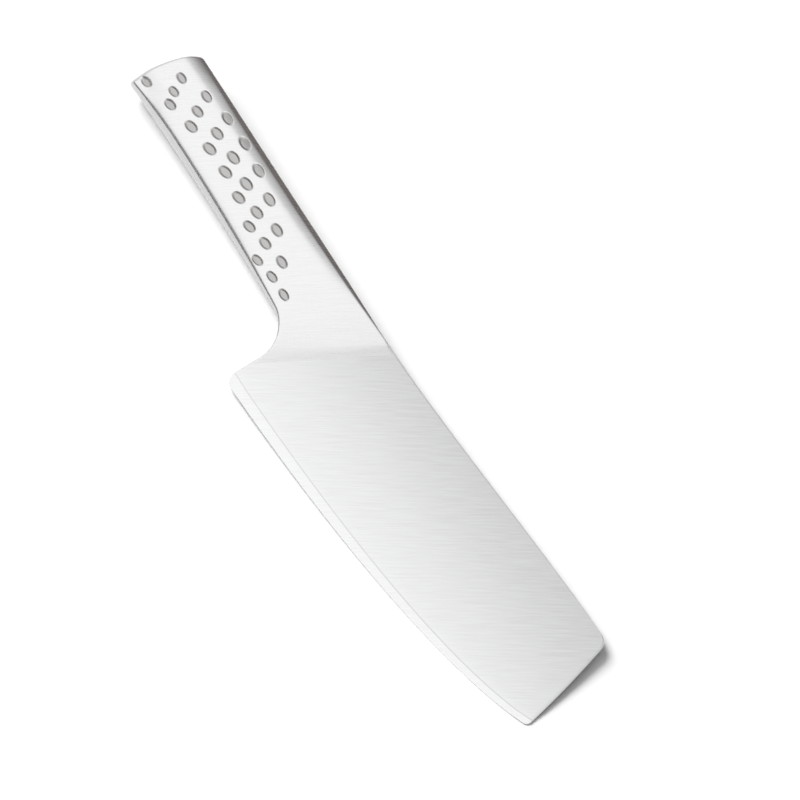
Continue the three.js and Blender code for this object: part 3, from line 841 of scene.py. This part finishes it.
def satin_steel(name, light, dark, roughness, anisotropy, struck=None):
    material, tree = new_material(name)
    grain = node(tree, "ShaderNodeUVMap", {"uv_map": "grain"})
    stretched = node(
        tree, "ShaderNodeMapping", i0=grain.outputs["UV"],
        i3=(1 / (STREAK_LENGTH * MM), 1 / (STREAK_WIDTH * MM), 1),
    )
    streaks = node(
        tree, "ShaderNodeTexNoise", {"noise_dimensions": "2D"},
        Vector=stretched.outputs["Vector"], Scale=1.0, Detail=3.0, Roughness=0.6,
    ).outputs["Fac"]
    tint = node(
        tree, "ShaderNodeValToRGB", stops=[(STREAK_LOW, dark), (STREAK_HIGH, light)], Fac=streaks,
    ).outputs["Color"]
    gloss = node(
        tree, "ShaderNodeMapRange", Value=streaks, From_Min=STREAK_LOW, From_Max=STREAK_HIGH,
        To_Min=roughness - GLOSS_SPREAD, To_Max=roughness + GLOSS_SPREAD,
    ).outputs["Result"]
    if struck:
        floor_shade_colour, floor_roughness = struck
        mark = node(tree, "ShaderNodeAttribute", {"attribute_name": "struck"}).outputs["Fac"]
        gloss = node(
            tree, "ShaderNodeMix", {"data_type": "FLOAT"}, i0=mark, i2=gloss, i3=floor_roughness,
        ).outputs[0]
        # The struck floors take a darker colour: painted shade in the dimples.
        tint = node(
            tree, "ShaderNodeMix", {"data_type": "RGBA"}, i0=mark, i6=tint, i7=srgb(floor_shade_colour),
        ).outputs[2]
    scratches = node(
        tree, "ShaderNodeBump",
        Strength=SCRATCH_STRENGTH, Distance=SCRATCH_DEPTH * MM, Height=streaks,
    )
    way = node(tree, "ShaderNodeTangent", {"direction_type": "UV_MAP", "uv_map": "grain"})
    shader = node(
        tree, "ShaderNodeBsdfPrincipled", Base_Color=tint, Metallic=1.0, Roughness=gloss,
        Anisotropic=anisotropy, Anisotropic_Rotation=QUARTER_TURN,
        Normal=scratches.outputs["Normal"], Tangent=way.outputs["Tangent"],
    )
    node(tree, "ShaderNodeOutputMaterial", Surface=shader.outputs["BSDF"])
    return material


blade_steel = satin_steel(
    "satin_ground_stainless_blade", light="#d1d2d2", dark="#cbcbcb",
    roughness=0.195, anisotropy=0.55,
)
# The dimples' struck floors are rougher, and their darker colour #acabaa is painted shade.
handle_steel = satin_steel(
    "satin_brushed_stainless_handle", light="#d2d2d2", dark="#cbcbcb",
    roughness=0.28, anisotropy=0.5, struck=("#acabaa", 0.36),
)
blade.data.materials.append(blade_steel)
for piece in shells.values():
    piece.data.materials.append(handle_steel)
print("Steel on", 1 + len(shells), "pieces")

# %% [markdown]
# ### Dry quartz sand
#
# Sand inside the closed handle balances the blade. Nothing of it shows, but the CAD piece keeps a
# true finish: pale, dull grains about half a millimetre across. Voronoi cells are such grains.

# %% Sand
SAND_GRAIN = 0.5
sand, tree = new_material("dry_quartz_sand")
place = node(tree, "ShaderNodeTexCoord")
grains = node(
    tree, "ShaderNodeTexVoronoi", Vector=place.outputs["Object"], Scale=1 / (SAND_GRAIN * MM),
)
tint = node(
    tree, "ShaderNodeValToRGB", stops=[(0.0, "#d9c9a3"), (1.0, "#a58a5c")],
    Fac=grains.outputs["Distance"],
)
shader = node(tree, "ShaderNodeBsdfPrincipled", Base_Color=tint.outputs["Color"], Roughness=0.9)
node(tree, "ShaderNodeOutputMaterial", Surface=shader.outputs["BSDF"])
fill = frame["nodes"]["balance_fill"]
fill.data.materials.clear()
fill.data.materials.append(sand)
print("Sand on", fill.name)

# %% [markdown]
# ## The stage
#
# Bare metal shows what is around it more than its own colour, so the surroundings are chosen for
# what the steel should mirror. The floor is white background paper. It is nearly even, with soft
# mottles a few millimetres wide, and it keeps the knife's shadow.

# %% Floor
FLOOR_SIZE = 6.0
MOTTLE = 20 / 3  # mm
bpy.ops.mesh.primitive_plane_add(size=FLOOR_SIZE, location=(0, 0, 0))
floor = bpy.context.object
floor.name = "floor"
paper, tree = new_material("white_background_paper")
fibres = node(tree, "ShaderNodeTexNoise", Scale=FLOOR_SIZE / (MOTTLE * MM), Detail=2.0)
tone = node(
    tree, "ShaderNodeValToRGB", stops=[(0.0, "#fafafa"), (1.0, "#fcfcfc")],
    Fac=fibres.outputs["Fac"],
)
matte = node(tree, "ShaderNodeBsdfDiffuse", Color=tone.outputs["Color"])
node(tree, "ShaderNodeOutputMaterial", Surface=matte.outputs["BSDF"])
floor.data.materials.append(paper)
print("Floor of", FLOOR_SIZE, "m")

# %% [markdown]
# ### Lamps
#
# One broad softbox hangs level over the table, and the flat faces mirror it. Its border lies over
# the knife, so the blade shades softly from the edge to the spine. A large soft window at the
# butt's end throws the shadow past the tip. It is a sun lamp, which is the simplest way to light
# the whole floor evenly, and the metal doesn't mirror it.

# %% Softbox and window
KEY_SIZE = (1.3, 0.74)
KEY_SPOT = Vector((-0.55, -0.362, 0.85))
KEY_RADIANCE = 0.66
SUN_AZIMUTH, SUN_ELEVATION = math.radians(182), math.radians(43)
SUN_SPREAD = math.radians(36)
SUN_SHARE = 0.68  # of the light that makes the floor white

key_data = bpy.data.lights.new("key_softbox", "AREA")
key_data.shape = "RECTANGLE"
key_data.size, key_data.size_y = KEY_SIZE
key_data.energy = KEY_RADIANCE * math.pi * KEY_SIZE[0] * KEY_SIZE[1]
key = bpy.data.objects.new("key_softbox", key_data)
key.location = KEY_SPOT
key.rotation_euler = (-UPWARD).to_track_quat("-Z", "Y").to_euler()
bpy.context.scene.collection.objects.link(key)

sun_way = Vector((
    math.cos(SUN_AZIMUTH) * math.cos(SUN_ELEVATION),
    math.sin(SUN_AZIMUTH) * math.cos(SUN_ELEVATION),
    math.sin(SUN_ELEVATION),
))
sun_data = bpy.data.lights.new("window", "SUN")
sun_data.energy = SUN_SHARE * math.pi / math.sin(SUN_ELEVATION)
sun_data.angle = SUN_SPREAD
sun = bpy.data.objects.new("window", sun_data)
sun.rotation_euler = (-sun_way).to_track_quat("-Z", "Y").to_euler()
sun.visible_glossy = False
bpy.context.scene.collection.objects.link(sun)
print("Softbox of", round(key_data.energy, 2), "W and a window of", round(sun_data.energy, 2))

# %% [markdown]
# ### Sky
#
# The studio's walls are two in one: a pale backdrop for what the camera sees and the metal mirrors,
# and a dimmer glow that fills the shadows. The kind of ray decides which of them answers.

# %% Sky
WALL_GLOW, BACKDROP_GLOW = 0.31, 0.87
world = bpy.data.worlds.new("studio")
bpy.context.scene.world = world
world.use_nodes = True
tree = world.node_tree
tree.nodes.clear()
ray = node(tree, "ShaderNodeLightPath")
seen = ray.outputs["Is Camera Ray"]
for kind in ("Is Glossy Ray", "Is Transmission Ray"):
    either = node(tree, "ShaderNodeMath", {"operation": "MAXIMUM"}, i0=seen, i1=ray.outputs[kind])
    seen = either.outputs[0]
glow = node(tree, "ShaderNodeBackground", Color=srgb("#ffffff"), Strength=WALL_GLOW)
backdrop = node(tree, "ShaderNodeBackground", Color=srgb("#ffffff"), Strength=BACKDROP_GLOW)
sky = node(tree, "ShaderNodeMixShader", i0=seen, i1=glow.outputs[0], i2=backdrop.outputs[0])
node(tree, "ShaderNodeOutputWorld", Surface=sky.outputs[0])
print("Sky nodes:", len(tree.nodes))

# %% [markdown]
# ### Cards
#
# A photographer of cutlery stands grey cards round the table, just out of the picture, and the
# bevels mirror them. That draws the handle's long dark lines. The spine's bevel mirrors the card on
# its side, whose tones pale upwards, so the turn-over of the face shades softly into it. The steep
# belly side mirrors two dark cards with a gap between them. A white one stands past the butt. Real
# cards would also shade the floor, so these glow by themselves and only the metal sees them.

# %% Card
def card(name, bottom, top, length, tones):
    """A panel between two heights that only the metal sees, its tones graded from bottom to top."""
    material, tree = new_material(name + "_paper")
    place = node(tree, "ShaderNodeTexCoord")
    height = node(tree, "ShaderNodeSeparateXYZ", Vector=place.outputs["Generated"])
    tone = node(tree, "ShaderNodeValToRGB", stops=tones, Fac=height.outputs["Y"])
    glow = node(tree, "ShaderNodeEmission", Color=tone.outputs["Color"], Strength=1.0)
    node(tree, "ShaderNodeOutputMaterial", Surface=glow.outputs["Emission"])
    mesh = bpy.data.meshes.new(name)
    mesh.from_pydata([(0, 0, 0), (1, 0, 0), (1, 1, 0), (0, 1, 0)], [], [(0, 1, 2, 3)])
    mesh.materials.append(material)
    panel = bpy.data.objects.new(name, mesh)
    across, rise = Vector(length), Vector(top) - Vector(bottom)
    axes = Matrix((across, rise, across.cross(rise).normalized())).transposed().to_4x4()
    panel.matrix_world = Matrix.Translation(Vector(bottom) - across / 2) @ axes
    bpy.context.scene.collection.objects.link(panel)
    panel.visible_camera = panel.visible_diffuse = panel.visible_shadow = False
    print(name, "is", round(across.length, 2), "m long and", round(rise.length, 2), "m high")


# %% [markdown]
# Each card is given by the middles of its lower and upper border, its length, and two tones with
# their places between the borders. Three stand along the knife and one across its end.

# %% Four cards
ALONG_KNIFE, ACROSS_BUTT = (2.2, 0, 0), (0, 1.0, 0)
MIDDLE_X, BUTT_X, BELLY_Y = -0.4, -1.1, -0.6
SPINE_GREY, BELLY_GREY, PALE, WHITE = "#766e6c", "#5c5450", "#efefef", "#ffffff"

card(
    "card_spine_side", (MIDDLE_X, 0.5, 0), (MIDDLE_X, 0.14, 0.8), ALONG_KNIFE,
    [(0.22, SPINE_GREY), (0.85, PALE)],
)
card(
    "card_belly_low", (MIDDLE_X, BELLY_Y, 0.02), (MIDDLE_X, BELLY_Y, 0.25), ALONG_KNIFE,
    [(0.3, BELLY_GREY), (1.0, BELLY_GREY)],
)
card(
    "card_belly_high", (MIDDLE_X, BELLY_Y, 0.36), (MIDDLE_X, BELLY_Y, 0.74), ALONG_KNIFE,
    [(0.3, BELLY_GREY), (1.0, PALE)],
)
card(
    "card_butt_end", (BUTT_X, -0.1, 0), (BUTT_X, -0.1, 0.7), ACROSS_BUTT,
    [(0.0, WHITE), (1.0, WHITE)],
)

# %% [markdown]
# ## The camera
#
# The photograph looks down on the knife from beside its tip, with a long lens and slightly tilted.
# The camera's place comes from a point on the table, two angles and a distance. A Track To
# constraint would aim it as well, but it can't give the tilt.

# %% Camera
VIEW_AIM = Vector((17.4, 18.16, 0)) * MM
VIEW_AZIMUTH = math.radians(67.12)
VIEW_ELEVATION = math.radians(61.49)
VIEW_ROLL = math.radians(-8.03)
VIEW_DISTANCE = 1.169
LENS, SENSOR_WIDTH = 150.66, 36

back = Vector((
    math.sin(VIEW_AZIMUTH) * math.cos(VIEW_ELEVATION),
    -math.cos(VIEW_AZIMUTH) * math.cos(VIEW_ELEVATION),
    math.sin(VIEW_ELEVATION),
))
level = Vector((math.cos(VIEW_AZIMUTH), math.sin(VIEW_AZIMUTH), 0))
upright = back.cross(level)
right = level * math.cos(VIEW_ROLL) + upright * math.sin(VIEW_ROLL)
up = back.cross(right)
turn = Matrix((right, up, back)).transposed().to_4x4()
camera_data = bpy.data.cameras.new("camera")
camera_data.sensor_width = SENSOR_WIDTH
camera_data.lens = LENS
camera = bpy.data.objects.new("camera", camera_data)
camera.matrix_world = Matrix.Translation(VIEW_AIM + back * VIEW_DISTANCE) @ turn
bpy.context.scene.collection.objects.link(camera)
bpy.context.scene.camera = camera
bpy.context.scene.view_settings.view_transform = "Standard"
print("Camera at", [round(v, 3) for v in camera.matrix_world.translation])
